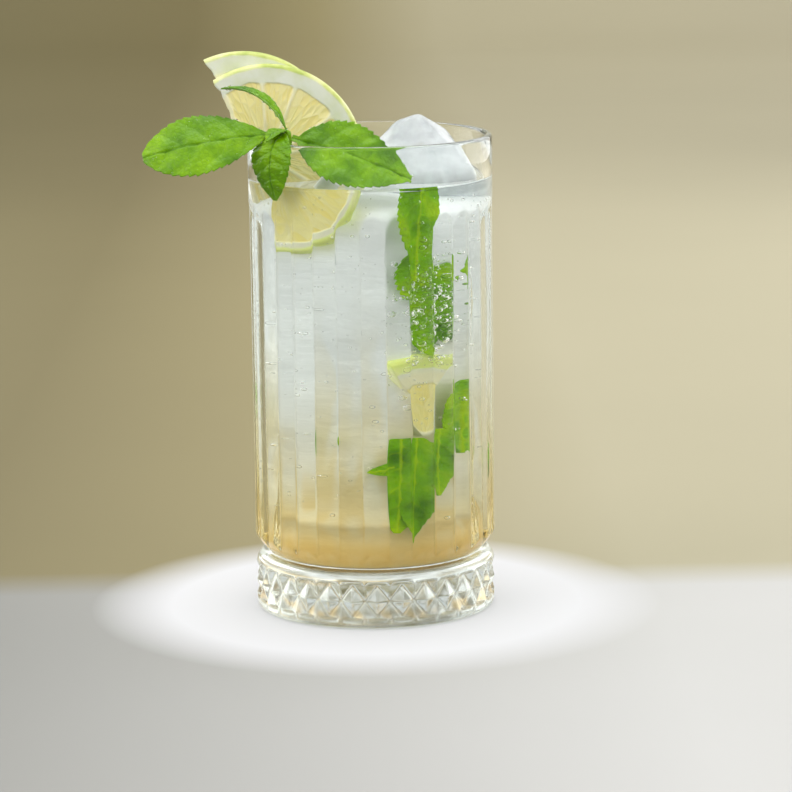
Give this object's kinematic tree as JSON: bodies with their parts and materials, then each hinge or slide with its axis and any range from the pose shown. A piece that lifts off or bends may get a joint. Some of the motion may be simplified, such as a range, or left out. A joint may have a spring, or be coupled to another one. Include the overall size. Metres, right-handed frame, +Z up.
{
  "type": "mojito cocktail in a ribbed glass",
  "caption": "Tall ribbed pressed glass of cloudy iced drink, garnished with half wheels of citrus and a sprig of mint.",
  "frame": {"origin": "centre of the underside of the glass, where it stands on the table", "axes": "+Z up along the glass, -Y towards the drinker, +X to the drinker's right; the mint hangs over the lip to the left and front"},
  "size_m": [0.1088, 0.0772, 0.1772],
  "materials": {
    "glass": "clear pressed glass, polished",
    "drink": "cloudy fizzy drink, pale at the top and straw yellow at the bottom",
    "ice": "melting ice, wet and slightly milky",
    "citrus": "wet cut fruit: pale yellow segments, white pith, thin green-yellow peel",
    "mint": "fresh wet leaf with sunken veins"
  },
  "bodies": {
    "root": {"glass": "glass", "drink": "drink", "ice": "ice", "citrus_front": "citrus", "citrus_back": "citrus", "mint_sprig": "mint"}
  },
  "joints": []
}
